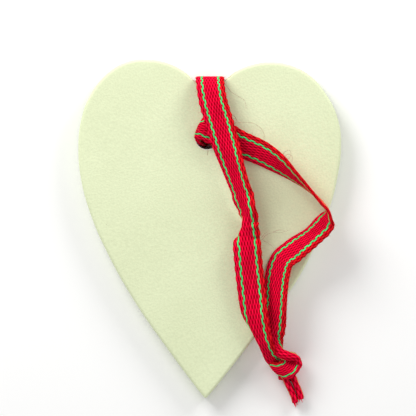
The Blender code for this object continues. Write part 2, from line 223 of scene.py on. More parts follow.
def ribbon_stations(lay):
    """The ribbon's route from tail to tail: its middle, the direction of its width there, and its form."""
    board = lay.heart.thickness
    under = lay.under / 2 / MM
    wall_low, width_low = lay.wall(218, -0.93 * board)
    wall_middle, width_middle = lay.wall(195, -0.5 * board)
    wall_high, width_high = lay.wall(170, -0.15 * board)
    wall_top, width_top = lay.wall(156, lay.ribbon.clearance + 0.25 * lay.ribbon.thickness)
    notch_high = lay.front(0.10, 43.5, 1.9)
    notch_middle = lay.front(0.07, 43.75, 0) - Vector((0, 0, board / 2))
    return (
        (table_point(24.85, -50.4, 3.1), (-1, -0.10, 0), TAIL_END),
        (table_point(24.5, -48.9, 3.5), (-0.96, -0.28, 0), TAIL),
        (table_point(23.8, -47.2, 3.5), (-0.92, -0.42, 0), TAIL),
        (table_point(22.9, -45.4, 3.8), (-0.88, -0.47, 0), TAIL),
        (table_point(22.1, -43.5, 4.1), (-0.86, -0.50, 0), TAIL),
        (table_point(20.7, -40.9, 4.6), (-0.70, -0.71, 0), FOLDED),
        (table_point(17.8, -38.6, 5.3), (-0.78, -0.62, 0), curled(150, share=0.28, at=0.14, gather=0.80)),
        (table_point(16.55, -36.9, 7.1), (-0.80, -0.50, -0.25), curled(150, 0.24, at=0.12, gather=0.80)),
        (table_point(15.3, -34.3, 8.9), (-0.85, -0.36, -0.38), curled(150, 0.24, at=0.12, gather=0.88)),
        (table_point(14.0, -30.9, 9.9), (-0.93, -0.25, -0.27), curled(125, share=0.26, at=0.15, gather=0.96)),
        (lay.front(12.9, -25.2, 4.6), (-0.96, -0.18, -0.2), curled(50, share=0.45, at=0.24)),
        (lay.front(12.15, -18.3, 4.4), (-0.99, -0.08, -0.1), curled(20, share=0.80, at=0.10)),
        (lay.front(11.3, -10.4, 4.6), (-1, -0.05, 0), curled(5)),
        (lay.front(10.85, -5.0, 5.0), (-1, 0, 0), curled(5)),
        (lay.front(10.5, -1.2, 5.0), (-1, 0, -0.05), curled(110, share=0.30, at=0.22)),
        (lay.front(10.2, 2.0, 5.0), (-0.72, -0.05, -0.69), curled(110, share=0.36, at=0.04)),
        (lay.front(10.45, 4.9, 5.0), (-0.46, -0.12, -0.88), curled(50, share=0.34, at=-0.20)),
        (lay.front(9.55, 8.7, 4.9), (-0.63, -0.20, -0.75), curled(35, share=0.30, at=-0.22)),
        (lay.front(8.1, 13.8, 4.9), (-0.68, -0.28, -0.68), curled(10)),
        (lay.front(6.4, 19.0, 5.1), (-0.78, -0.27, -0.55), curled(10)),
        (lay.front(4.7, 24.6, 5.3), (-0.92, -0.26, -0.25), curled(8)),
        (lay.front(2.6, 31.6, 5.4), (-0.96, -0.26, 0), curled(4)),
        (lay.front(0.9, 37.6, 5.5), (-0.99, -0.14, 0), curled(2)),
        (lay.front(0.25, 41.5, 4.5), (-1, -0.02, 0), FLAT),
        (notch_high, (-1, 0, 0), FLAT),
        (notch_middle, (-1, 0, 0), FLAT),
        (table_point(0.02, 43.35, under + 0.45), (-1, 0, 0), FLAT),
        (table_point(-0.05, 41.6, under), (-1, 0, 0), curled(0, gather=0.97)),
        (table_point(-0.3, 36.5, under), (-1, 0, 0), curled(0, gather=0.85)),
        (table_point(-0.8, 30.5, under), (-0.99, 0.1, 0), curled(0, gather=IN_HOLE)),
        (table_point(-1.5, 26.4, under + 0.15), (-0.97, 0.23, 0), curled(0, gather=0.72 * IN_HOLE)),
        (wall_low, width_low, curled(90, gather=0.72 * IN_HOLE)),
        (wall_middle, width_middle, curled(115, gather=0.95 * IN_HOLE)),
        (wall_high, width_high, curled(124, gather=IN_HOLE)),
        (wall_top, width_top, curled(110, gather=IN_HOLE, shear=1)),
        (lay.front(-3.25, 29.35, 1.5), (0.40, 0.92, 0), curled(20, gather=0.76, shear=1)),
        (lay.front(-1.95, 29.35, 2.2), (0.45, 0.89, 0), curled(15, gather=0.85, shear=0.5)),
        (lay.front(0.80, 28.45, 2.2), (0.42, 0.91, 0.10), curled(10, gather=0.95)),
        (lay.front(4.2, 27.1, 1.9), (0.38, 0.90, 0.22), curled(5)),
        (lay.front(8.2, 25.0, 2.1), (0.42, 0.83, 0.36), curled(5)),
        (lay.front(15.6, 21.7, 2.9), (0.42, 0.74, 0.52), curled(5)),
        (lay.front(19.95, 19.0, 3.8), (0.38, 0.56, 0.74), curled(5)),
        (lay.front(24.4, 15.4, 4.5), (0.22, 0.27, 0.94), curled(5)),
        (lay.front(27.6, 12.6, 4.7), (0.09, 0.12, 0.99), curled(5)),
        (lay.front(32.4, 7.7, 4.7), (-0.05, -0.04, 1), curled(5)),
        (lay.front(34.4, 5.0, 4.4), (0.10, -0.14, 0.98), curled(5)),
        (lay.front(33.6, 2.5, 3.9), (0.40, -0.48, 0.78), curled(30, share=0.30, at=0.28)),
        (lay.front(29.4, -2.0, 3.8), (0.40, -0.48, 0.78), curled(40, share=0.30, at=0.28)),
        (lay.front(24.6, -5.8, 3.3), (0.53, -0.60, 0.60), curled(25, share=0.30, at=0.28)),
        (lay.front(21.1, -8.8, 2.9), (0.68, -0.48, 0.55), curled(8)),
        (lay.front(19.8, -12.4, 2.8), (0.84, -0.20, 0.50), curled(5)),
        (lay.front(19.2, -17.1, 2.8), (0.84, -0.05, 0.54), curled(5)),
        (lay.front(18.9, -23.0, 2.9), (0.82, 0.02, 0.57), curled(5)),
        (table_point(18.2, -28.0, 8.4), (0.93, 0.05, 0.36), curled(15)),
        (table_point(17.7, -31.0, 8.1), (0.96, 0.15, 0.14), curled(30, share=0.60, at=0.10, gather=0.96)),
        (table_point(18.2, -33.5, 7.6), (0.86, 0.46, 0.2), curled(100, share=0.40, at=-0.10, gather=0.88)),
        (table_point(20.2, -35.7, 7.7), (0.62, 0.78, 0), curled(175, share=0.44, gather=0.88)),
        (table_point(22.7, -36.9, 8.0), (0.60, 0.80, 0), curled(175, share=0.44, gather=0.84)),
        (table_point(25.1, -37.6, 7.2), (0.74, 0.66, -0.1), FOLDED),
        (table_point(26.0, -39.2, 5.4), (0.90, 0.30, -0.3), FOLDED),
        (table_point(25.7, -40.5, 3.0), (0.70, 0.70, 0), curled(120, share=0.5, gather=TIGHT)),
        (table_point(23.8, -40.9, 1.1), (-0.15, 0.98, 0), curled(40, gather=TIGHT)),
        (table_point(20.9, -40.7, 0.95), (-0.40, 0.92, 0), curled(0, gather=TIGHT)),
        (table_point(18.8, -40.2, 1.8), (-0.62, 0.78, 0), curled(40, gather=TIGHT, shear=1)),
        (table_point(18.3, -40.4, 3.6), (-0.62, 0.78, 0), curled(60, gather=TIGHT, shear=1)),
        (table_point(19.2, -41.0, 5.7), (-0.64, 0.77, 0), curled(55, gather=0.74, shear=1)),
        (table_point(21.3, -41.1, 6.4), (-0.60, 0.80, 0), curled(45, gather=0.74, shear=1)),
        (table_point(23.2, -39.8, 6.2), (-0.84, 0.54, 0), curled(35, gather=0.74, shear=0.5)),
        (table_point(24.1, -38.0, 5.2), (-0.78, 0.62, 0), curled(50, gather=0.70)),
        (table_point(24.4, -36.9, 3.8), (-0.90, 0.40, 0), curled(90, gather=0.66)),
        (table_point(23.4, -38.4, 3.3), (0.30, 0.75, 0.5), curled(120, share=0.6, gather=0.70)),
        (table_point(23.8, -41.0, 3.6), (0.95, 0.20, 0), TAIL),
        (table_point(24.3, -43.1, 3.8), (0.97, 0.20, 0), TAIL),
        (table_point(25.15, -45.4, 3.7), (0.92, 0.38, 0), TAIL),
        (table_point(26.05, -47.5, 3.5), (0.94, 0.34, 0), TAIL),
        (table_point(26.5, -49.4, 3.1), (0.97, 0.20, 0), TAIL_END),
    )


def through(knots, values, at):
    """A smooth line through given values, with slopes that suit unevenly spaced knots."""
    spans = np.diff(knots)[:, None]
    rises = np.diff(values, axis=0) / spans
    inner = (rises[:-1] * spans[1:] + rises[1:] * spans[:-1]) / (spans[:-1] + spans[1:])
    slopes = np.vstack([rises[:1], inner, rises[-1:]])
    index = np.clip(np.searchsorted(knots, at, side="right") - 1, 0, len(knots) - 2)
    span = spans[index]
    t = ((at - knots[index])[:, None]) / span
    start, end = values[index], values[index + 1]
    return (
        (2 * t**3 - 3 * t**2 + 1) * start
        + (t**3 - 2 * t**2 + t) * span * slopes[index]
        + (3 * t**2 - 2 * t**3) * end
        + (t**3 - t**2) * span * slopes[index + 1]
    )


# Ring spacing, steps to measure the route in, places across the width, and steps across a curl
RING_STEP = 0.25 * MM
ROUTE_STEPS = 6000
COLUMNS = 2 * WARPS
CURL_STEPS = 200

# Millimetres for each row of the weave, at stations of the route: it is pulled longer where the loop is taut
ROW_LENGTHS = (
    (0, 1.40), (10, 1.45), (15, 1.40), (20, 1.15), (22, 1.05), (36, 1.20), (40, 1.35), (45, 1.30),
    (47, 1.00), (51, 1.00), (54, 1.25), (60, 1.35), (75, 1.35),
)

# The station under the board where the lit side of the ribbon, which gets the painted light tint, changes
UNDER_BOARD = 28


def warp_float(place, row):
    """The nearest warp thread that floats on this face: its number, and how far off its middle this place is.

    Neighbouring threads come up on alternate rows, so the floats' middles make a lattice of diamonds.
    """
    first, second = (place + row) / 2, (place - row) / 2
    near_first, near_second = np.round(first), np.round(second)
    warp = near_first + near_second
    return warp, (first - near_first) + (second - near_second), (first - near_first) - (second - near_second)


# Half width of a float, in warp threads, and half its length, in rows
FLOAT_OVAL = (0.62, 0.80)

# Share of the full thickness at the selvedge, and how much more of it there is at each place inwards
SELVEDGE_THICKNESS = (0.62, 0.19)

# How far the weft's turns stand out of the selvedge, on average and from row to row
SELVEDGE_TURNS = (0.10 * MM, 0.11 * MM)

# The painted light tint on the lit margin starts this share of the width from the middle, and is full this
# much further out
PAINTED_LIT_TINT_MARGIN = (0.345, 0.03)


def float_height(sideways, lengthways):
    """Height of a float over the weave's valleys, from 0 to 1: an oval dome."""
    return np.sqrt(np.clip(1 - (sideways / FLOAT_OVAL[0]) ** 2 - (lengthways / FLOAT_OVAL[1]) ** 2, 0, 1))


def unit(vectors):
    return vectors / np.linalg.norm(vectors, axis=-1, keepdims=True)


def ribbon_route(lay):
    """Evenly spaced places along the route, with the ribbon's directions, form and row of the weave there."""
    stations = ribbon_stations(lay)
    places = np.array([tuple(station[0]) for station in stations])
    widths = np.array([station[1] for station in stations], float)
    forms = np.array([station[2] for station in stations], float)
    knots = np.concatenate([[0], np.cumsum(np.linalg.norm(np.diff(places, axis=0), axis=1))])
    fine = np.linspace(0, knots[-1], ROUTE_STEPS)
    line = through(knots, places, fine)
    runs = np.concatenate([[0], np.cumsum(np.linalg.norm(np.diff(line, axis=0), axis=1))])
    rings = round(runs[-1] / RING_STEP)
    at = np.interp(np.linspace(0, runs[-1], rings + 1), runs, fine)
    middle = through(knots, places, at)
    forward = unit(np.gradient(middle, axis=0))
    form = through(knots, forms, at)
    across = through(knots, widths, at)
    squared = 1 - np.clip(form[:, 4:], 0, 1)
    across = unit(across - squared * forward * np.sum(across * forward, axis=1)[:, None])
    row_length = np.interp(at, [knots[station] for station, _ in ROW_LENGTHS], [mm for _, mm in ROW_LENGTHS])
    step = runs[-1] / rings / MM
    row = np.concatenate([[0], np.cumsum(step / row_length[1:])])
    turned = np.searchsorted(at, knots[UNDER_BOARD])
    return middle, forward, across, form, row, turned, runs[-1]


def curled_surface(ribbon, middle, forward, across, form, shares):
    """Places on the ribbon's middle surface, a row of them for each ring, from the curl of that ring."""
    curl, crease, curl_at, gather, _ = form.T
    steps = np.linspace(-0.5, 0.5, CURL_STEPS + 1)
    bend = np.clip((steps - curl_at[:, None]) / crease[:, None], -0.5, 0.5)
    level = np.clip(-curl_at / crease, -0.5, 0.5)[:, None]
    angle = np.radians(curl)[:, None] * (bend - level)
    halfway = (angle[:, 1:] + angle[:, :-1]) / 2
    length = (ribbon.width * gather / CURL_STEPS)[:, None]
    sideways = np.cumsum(np.pad(np.cos(halfway) * length, ((0, 0), (1, 0))), axis=1)
    downwards = np.cumsum(np.pad(np.sin(halfway) * length, ((0, 0), (1, 0))), axis=1)
    centre = CURL_STEPS // 2
    sideways -= sideways[:, centre:centre + 1]
    downwards -= downwards[:, centre:centre + 1]
    columns = (np.asarray(shares) + 0.5) * CURL_STEPS
    low = np.clip(columns.astype(int), 0, CURL_STEPS - 1)
    part = columns - low
    side = sideways[:, low] * (1 - part) + sideways[:, low + 1] * part
    down = downwards[:, low] * (1 - part) + downwards[:, low + 1] * part
    outward = unit(np.cross(forward, across))
    return middle[:, None] + side[..., None] * across[:, None] - down[..., None] * outward[:, None]


def ribbon_mesh(lay):
    """The woven ribbon as one closed body, its warp threads standing out of both faces."""
    ribbon = lay.ribbon
    middle, forward, across, form, row, turned, length = ribbon_route(lay)
    place = np.linspace(0, WARPS, COLUMNS + 1) - 0.5
    shares = np.interp(place + 0.5, WARP_EDGES, EDGE_SHARES)
    surface = curled_surface(ribbon, middle, forward, across, form, shares)
    normal = unit(np.cross(np.gradient(surface, axis=0), np.gradient(surface, axis=1)))
    edgeways = unit(np.gradient(surface, axis=1))
    inwards = np.minimum(np.arange(COLUMNS + 1), np.arange(COLUMNS, -1, -1))
    thin = np.minimum(1, SELVEDGE_THICKNESS[0] + SELVEDGE_THICKNESS[1] * inwards)
    faces = []
    weave = []
    for side in (0, 1):
        _, sideways, lengthways = warp_float(place[None, :], row[:, None] + side)
        height = float_height(sideways, lengthways)
        half = ribbon.thickness / 2 * thin + ribbon.relief * (height - 0.5)
        faces.append(surface + (1 - 2 * side) * half[..., None] * normal)
        weave.append(np.stack(np.broadcast_arrays(place[None, :], row[:, None] + side, side), axis=-1))
    # Painted light: the lit margin of each strand is tinted orange-red, and the lit side changes sides under
    # the board
    lit_side = np.where(np.arange(len(row)) < turned, -1, 1)[:, None]
    painted_lit_tint = np.clip((lit_side * shares - PAINTED_LIT_TINT_MARGIN[0]) / PAINTED_LIT_TINT_MARGIN[1], 0, 1)
    turns = SELVEDGE_TURNS[1] * np.cos(pi * row)[:, None]
    left = surface[:, 0] - edgeways[:, 0] * (SELVEDGE_TURNS[0] + turns)
    right = surface[:, -1] + edgeways[:, -1] * (SELVEDGE_TURNS[0] - turns)
    loops = np.concatenate([faces[0], right[:, None], faces[1][:, ::-1], left[:, None]], axis=1)
    marks = np.concatenate([weave[0], weave[0][:, -1:], weave[1][:, ::-1], weave[0][:, :1]], axis=1)
    painted_lit_tint_share = np.concatenate([painted_lit_tint, painted_lit_tint[:, -1:], painted_lit_tint[:, ::-1], painted_lit_tint[:, :1]], axis=1)
    rings, around = loops.shape[:2]
    ring, turn = np.meshgrid(np.arange(rings - 1), np.arange(around), indexing="ij")
    after = (turn + 1) % around
    quads = np.stack([ring * around + turn, (ring + 1) * around + turn,
                      (ring + 1) * around + after, ring * around + after], axis=-1).reshape(-1, 4)
    start = [(k, k + 1, around - 3 - k, around - 2 - k) for k in range(COLUMNS)]
    start += [(0, around - 2, around - 1), (COLUMNS, COLUMNS + 1, COLUMNS + 2)]
    base = (rings - 1) * around
    end = [tuple(base + v for v in reversed(face)) for face in start]
    mesh = bpy.data.meshes.new("woven_ribbon")
    mesh.from_pydata(loops.reshape(-1, 3), [], quads.tolist() + start + end)
    mark = mesh.attributes.new("weave", "FLOAT_VECTOR", "POINT")
    mark.data.foreach_set("vector", marks.reshape(-1).astype(np.float32))
    margin = mesh.attributes.new("painted_lit_tint", "FLOAT", "POINT")
    margin.data.foreach_set("value", painted_lit_tint_share.reshape(-1).astype(np.float32))
    mesh.shade_smooth()
    return mesh, middle, length


# Stray fibres in the photograph: pixels of it, and millimetres over the board
LONG_FIBRES = (
    ((224.5, 81, 5.4), (229, 77, 6.0), (232, 74.5, 6.1), (236, 71.5, 5.6)),
    ((225.5, 84, 5.4), (230.5, 91, 4.0), (239.5, 97, 1.6), (245, 101, 0.7), (246, 108, 0.3)),
    ((234, 123, 5.0), (243, 122, 2.6), (255, 124, 0.8), (263, 131, 0.3), (264, 138, 0.3), (262, 142, 0.5)),
    ((282.5, 157, 3.6), (285, 151.5, 4.6), (289.5, 150, 4.6), (291, 154, 4.1), (288, 160, 3.6)),
    ((284, 158.5, 3.6), (287.5, 154, 4.4), (292, 156, 4.1), (292, 162, 3.6)),
    ((261.5, 240, 4.8), (266, 235, 4.0), (274, 232.5, 2.0), (281, 232.5, 1.0), (289, 230, 0.5)),
    ((261.5, 237.5, 4.8), (264.5, 233.5, 3.8), (268, 231.5, 3.0)),
    ((263.5, 240.5, 4.8), (269, 243.5, 3.0), (274, 248, 1.8)),
    ((273, 232, 2.2), (280, 229.8, 1.4), (285, 230.2, 0.8)),
    ((231, 114, 5.2), (234.5, 116, 4.8), (236.5, 120, 4.2), (234, 125, 4.4)),
    ((231.5, 119, 5.2), (235.5, 118, 4.6), (238, 121.5, 3.8)),
    ((199, 131, 3.0), (197.5, 126, 3.4), (200.5, 122, 3.9)),
)

# Frayed threads at the two tails' ends, in millimetres over the table
FRAYED_THREADS = (
    ((24.5, -49.9, 3.6), (24.5, -50.8, 3.3), (24.9, -51.5, 3.0)),
    ((24.8, -49.9, 3.8), (24.8, -50.9, 3.4), (24.95, -51.8, 2.9)),
    ((25.0, -49.9, 3.5), (25.05, -50.8, 3.1), (25.0, -51.6, 2.6)),
    ((25.2, -49.9, 3.2), (25.3, -50.6, 3.0), (25.6, -51.1, 2.9)),
    ((24.7, -49.9, 2.6), (24.6, -50.8, 2.3), (24.8, -51.4, 2.0)),
    ((26.2, -49.0, 3.6), (26.1, -49.7, 3.4), (25.9, -50.2, 3.2)),
    ((26.6, -49.0, 3.6), (26.7, -49.8, 3.3), (26.9, -50.3, 3.0)),
)

# Short fibres along the selvedges, how long they are, and where they would go into the table
FUZZ_COUNT = 320
FUZZ_REACH = (0.7 * MM, 1.5 * MM)
FUZZ_LOWEST = 0.1 * MM

# Radii of the threads
FUZZ_RADIUS = 0.028 * MM
FIBRE_RADIUS = 0.05 * MM
FRAYED_RADIUS = 0.13 * MM


def photo_point(lay, right, down, above_front):
    """A point over the board, placed by a pixel of the photograph."""
    x = (right - PHOTO_MIDDLE[0]) * PIXEL
    y = (PHOTO_MIDDLE[1] - down) * PIXEL
    return lay.board_point(x, y, above_front * MM)


def smooth_thread(points, steps):
    places = np.array([tuple(point) for point in points])
    knots = np.concatenate([[0], np.cumsum(np.linalg.norm(np.diff(places, axis=0), axis=1))])
    return through(knots, places, np.linspace(0, knots[-1], steps))


def thread_rings(points, radius, sides=5):
    """Rings of a thin round thread along these points, which tapers to its free end."""
    along = unit(np.gradient(points, axis=0))
    first = unit(np.cross(along, (0.31, 0.17, 0.94)))
    second = np.cross(along, first)
    angle = np.arange(sides) * 2 * pi / sides
    spokes = np.cos(angle)[None, :, None] * first[:, None] + np.sin(angle)[None, :, None] * second[:, None]
    taper = np.linspace(1, 0.4, len(points))[:, None, None]
    return points[:, None] + radius * taper * spokes


def fuzz_threads(lay):
    """Short bent fibres that stand out of the two selvedges."""
    middle, forward, across, form, *_ = ribbon_route(lay)
    surface = curled_surface(lay.ribbon, middle, forward, across, form, (-0.5, -0.47, 0.47, 0.5))
    random = np.random.default_rng(5)
    threads = []
    for _ in range(FUZZ_COUNT):
        ring = random.integers(4, len(middle) - 4)
        edge, inner = (0, 1) if random.random() < 0.5 else (3, 2)
        outwards = unit(surface[ring, edge] - surface[ring, inner])
        start = surface[ring, inner] + random.uniform(-0.3, 0.3) * MM * np.cross(outwards, forward[ring])
        turn = random.normal(0, 0.7, 3)
        reach = random.uniform(*FUZZ_REACH)
        heading = unit(outwards + 0.5 * turn)
        bent = unit(heading + 0.8 * random.normal(0, 0.7, 3))
        bend = start + 0.5 * reach * heading
        thread = smooth_thread((start, bend, bend + 0.5 * reach * bent), 5)
        if thread[:, 2].min() > FUZZ_LOWEST:
            threads.append(thread)
    return threads


def fibre_mesh(lay):
    """All the stray fibres and frayed threads as one mesh of closed thin tubes."""
    tubes = [(thread_rings(thread, FUZZ_RADIUS, 4), 0.35) for thread in fuzz_threads(lay)]
    for path in LONG_FIBRES:
        points = [photo_point(lay, *place) for place in path]
        tubes.append((thread_rings(smooth_thread(points, 8 * len(path)), FIBRE_RADIUS), 1.0))
    for path in FRAYED_THREADS:
        points = [table_point(*place) for place in path]
        tubes.append((thread_rings(smooth_thread(points, 10), FRAYED_RADIUS), 0.0))
    verts, faces, fade = [], [], []
    for rings, pale in tubes:
        count, sides = rings.shape[:2]
        base = len(verts)
        verts.extend(rings.reshape(-1, 3).tolist())
        fade.extend([pale] * (count * sides))
        for ring in range(count - 1):
            for side in range(sides):
                after = (side + 1) % sides
                lower, upper = base + ring * sides, base + (ring + 1) * sides
                faces.append((lower + side, lower + after, upper + after, upper + side))
        faces.append(tuple(base + side for side in reversed(range(sides))))
        faces.append(tuple(base + (count - 1) * sides + side for side in range(sides)))
    mesh = bpy.data.meshes.new("stray_fibres")
    mesh.from_pydata(verts, [], faces)
    mark = mesh.attributes.new("pale", "FLOAT", "POINT")
    mark.data.foreach_set("value", np.array(fade, np.float32))
    mesh.shade_smooth()
    return mesh


def fibre_material(ribbon):
    """Single cotton fibres: the dye is thin on them, so the longest look pale and brownish."""
    material, tree, shader = new_material("loose_cotton_fibres", roughness=0.7, specular=0.1)
    pale = add_node(tree, "Attribute", attribute_name="pale")
    local = add_node(tree, "TexCoord").outputs["Object"]
    # Fibres change shade every millimetre or so
    patches = add_node(tree, "TexNoise", {"Vector": local, "Scale": 1 / MM, "Detail": 1.0})
    value = add_node(tree, "Math", [patches, 0.8, 0.6], operation="MULTIPLY_ADD")
    mixed = add_node(tree, "Mix", {
        "Factor": pale.outputs["Fac"], "A": (*ribbon.red, 1), "B": (*ribbon.fibre, 1),
    }, data_type="RGBA")
    toned = add_node(tree, "HueSaturation", {"Color": mixed, "Value": value})
    tree.links.new(toned.outputs["Color"], shader.inputs["Base Color"])
    return material


def ribbon_material(ribbon):
    """Woven cotton ribbon: matt, with round floats that carry a painted highlight on top and painted shade in
    the valleys where the threads go under.
    """
    material, tree, shader = new_material("woven_cotton_ribbon", roughness=0.75, specular=0.02)
    weave = add_node(tree, "Attribute", attribute_name="weave")
    split = add_node(tree, "SeparateXYZ", [weave.outputs["Vector"]])
    place, row, side = split.outputs

    # The nearest float, as in the mesh
    near = []
    off = []
    for operation in ("ADD", "SUBTRACT"):
        both = add_node(tree, "Math", [place, row], operation=operation)
        half = add_node(tree, "Math", [both, 0.5], operation="MULTIPLY")
        near.append(add_node(tree, "Math", [half], operation="ROUND"))
        off.append(add_node(tree, "Math", [half, near[-1]], operation="SUBTRACT"))
    sideways = add_node(tree, "Math", off, operation="ADD")
    lengthways = add_node(tree, "Math", off, operation="SUBTRACT")
    warp = add_node(tree, "Math", near, operation="ADD")
    pick = add_node(tree, "Math", near, operation="SUBTRACT")

    # How far out of the float's oval this point is: 0 at its middle, 1 at its rim
    squares = []
    for offset, reach in ((sideways, FLOAT_OVAL[0]), (lengthways, FLOAT_OVAL[1])):
        share = add_node(tree, "Math", [offset, reach], operation="DIVIDE")
        squares.append(add_node(tree, "Math", [share, 2.0], operation="POWER"))
    oval = add_node(tree, "Math", squares, operation="ADD")

    # Two pairs of green warps, the same distance from the middle
    from_middle = add_node(tree, "Math", [warp, (WARPS - 1) / 2], operation="SUBTRACT")
    apart = add_node(tree, "Math", [from_middle], operation="ABSOLUTE")
    green_warp = add_node(tree, "Math", [apart, 6.0, 0.75], operation="COMPARE")
    green_float = add_node(tree, "Math", [oval, 0.9], operation="LESS_THAN")
    green = add_node(tree, "Math", [green_warp, green_float], operation="MULTIPLY")

    # Cotton fibres show side by side on each thread, twisted a little
    twist = add_node(tree, "Math", [row, 0.35, place], operation="MULTIPLY_ADD")
    fibre_place = add_node(tree, "CombineXYZ", [twist, row, side])
    stretched = add_node(tree, "Mapping", {"Vector": fibre_place, "Scale": (4.0, 1.2, 1.0)})
    fibres = add_node(tree, "TexNoise", {"Vector": stretched, "Scale": 1.0, "Detail": 3.0, "Roughness": 0.6})
    thread = add_node(tree, "CombineXYZ", [warp, pick, side])
    thread_tone = add_node(tree, "TexWhiteNoise", [thread])

    # Painted light: the lit margin of each strand is mixed toward an orange-red tint
    painted_lit_tint = add_node(tree, "Attribute", attribute_name="painted_lit_tint")
    ground = add_node(tree, "Mix", {
        "Factor": painted_lit_tint.outputs["Fac"], "A": (*ribbon.red, 1), "B": (*ribbon.painted_lit_tint, 1),
    }, data_type="RGBA")
    dye = add_node(tree, "Mix", {"Factor": green, "A": ground, "B": (*ribbon.green, 1)}, data_type="RGBA")
    uneven = add_node(tree, "Math", [thread_tone, 0.36, 0.62], operation="MULTIPLY_ADD")
    tone = add_node(tree, "Math", [fibres, 0.46, uneven], operation="MULTIPLY_ADD")
    toned = add_node(tree, "HueSaturation", {"Color": dye, "Value": tone})
    # Painted shade: toward each float's rim and between floats the colour goes to the dark gap colours
    painted_valley_shade = add_node(tree, "Mix", {
        "Factor": green, "A": (*ribbon.shade, 1), "B": (*ribbon.green_shade, 1),
    }, data_type="RGBA")
    crown = add_node(tree, "MapRange", {
        "Value": oval, "From Min": 1.2, "From Max": 0.4,
    }, interpolation_type="SMOOTHSTEP")
    body = add_node(tree, "Mix", {"Factor": crown, "A": painted_valley_shade, "B": toned}, data_type="RGBA")
    # Painted highlight: a little white on top of each float, standing in for light caught by the fine fuzz
    # there
    painted_highlight = add_node(tree, "MapRange", {"Value": oval, "From Min": 0.5, "From Max": 0.0, "To Max": 0.012})
    face = add_node(tree, "Mix", {"Factor": painted_highlight, "A": body, "B": (1, 1, 1, 1)}, data_type="RGBA")
    tree.links.new(face.outputs["Result"], shader.inputs["Base Color"])

    # The floats' domes and their fibres, finer than the mesh
    inside = add_node(tree, "Math", [1.0, oval], operation="SUBTRACT")
    kept = add_node(tree, "Math", [inside, 0.0], operation="MAXIMUM")
    dome = add_node(tree, "Math", [kept, 0.5], operation="POWER")
    surface = add_node(tree, "Math", [fibres, 0.35, dome], operation="MULTIPLY_ADD")
    bump = add_node(tree, "Bump", {"Height": surface, "Strength": 0.8, "Distance": 0.12 * MM})
    tree.links.new(bump.outputs["Normal"], shader.inputs["Normal"])
    return material


def heart_outline(heart, steps=16):
    """The board's outline as evenly eased points, by the same curve that its stencil was drawn with."""
    curve = bpy.data.curves.new("stencil", "CURVE")
    curve.dimensions = "2D"
    curve.resolution_u = steps
    spline = curve.splines.new("BEZIER")
    spline.bezier_points.add(len(HEART_OUTLINE) - 1)
    spline.use_cyclic_u = True
    for index, (point, (x, y)) in enumerate(zip(spline.bezier_points, HEART_OUTLINE)):
        point.co = (x * heart.width, y * heart.length, 0)
        handle = "VECTOR" if index == NOTCH else "AUTO"
        point.handle_left_type = handle
        point.handle_right_type = handle
    guide = bpy.data.objects.new("stencil", curve)
    bpy.context.scene.collection.objects.link(guide)
    bpy.context.view_layer.update()
    mesh = guide.to_mesh()
    outline = np.array([vert.co[:2] for vert in mesh.vertices])
    guide.to_mesh_clear()
    bpy.data.objects.remove(guide)
    apart = np.linalg.norm(outline - np.roll(outline, 1, axis=0), axis=1) > 0.02 * MM
    outline = outline[apart]
    x, y = outline.T
    area = np.sum(x * np.roll(y, -1) - y * np.roll(x, -1))
    return outline if area > 0 else outline[::-1]


def clearance(points, outline):
    """How far each point is from a closed outline."""
    step = np.roll(outline, -1, axis=0) - outline
    offset = points[:, None] - outline
    share = np.clip(np.sum(offset * step, axis=2) / np.sum(step**2, axis=1), 0, 1)
    return np.linalg.norm(offset - share[..., None] * step, axis=2).min(axis=1)


def moved_in(outline, distance):
    """The outline moved inwards by this distance, along the middle of the turn at each point.

    Points that would cross over, as at the tight turn of the tip, are spread between their neighbours.
    """
    before = unit(outline - np.roll(outline, 1, axis=0))
    after = unit(np.roll(outline, -1, axis=0) - outline)
    along = unit(before + after)
    inwards = np.stack([-along[:, 1], along[:, 0]], axis=1)
    slant = np.clip(np.sum(along * after, axis=1), 0.4, 1)
    moved = outline + inwards * distance / slant[:, None]
    kept = clearance(moved, outline) >= 0.97 * distance
    index = np.arange(len(outline))
    spread = [np.interp(index, index[kept], side[kept], period=len(index)) for side in moved.T]
    return np.stack(spread, axis=1)


def within(points, outline):
    """Which points are inside a closed outline."""
    x, y = points.T[:, :, None]
    ax, ay = outline.T
    bx, by = np.roll(outline, -1, axis=0).T
    crosses = (ay > y) != (by > y)
    rise = np.where(by == ay, 1, by - ay)
    right = ax + (y - ay) * (bx - ax) / rise > x
    return np.sum(crosses & right, axis=1) % 2 == 1


def circle(centre, radius, sides=72):
    angle = np.arange(sides) * 2 * pi / sides
    return np.stack([centre[0] + radius * np.cos(angle), centre[1] + radius * np.sin(angle)], axis=1)


def side_profile(radius, steps, thickness):
    """A wall with rounded edges, from front to back: how deep each step is, and how far in from the wall."""
    angles = [pi / 2 * (1 - k / steps) for k in range(steps + 1)]
    front = [(radius * (1 - sin(angle)), radius * (1 - cos(angle))) for angle in angles]
    return front + [(thickness - depth, inset) for depth, inset in reversed(front)]


# Width of the hole's eased rims, steps in a rounding and in a rim, and spacing of the faces' triangles
RIM_EASE = 0.45 * MM
ROUNDING_STEPS = 8
RIM_STEPS = 4
FACE_SPACING = 1.0 * MM


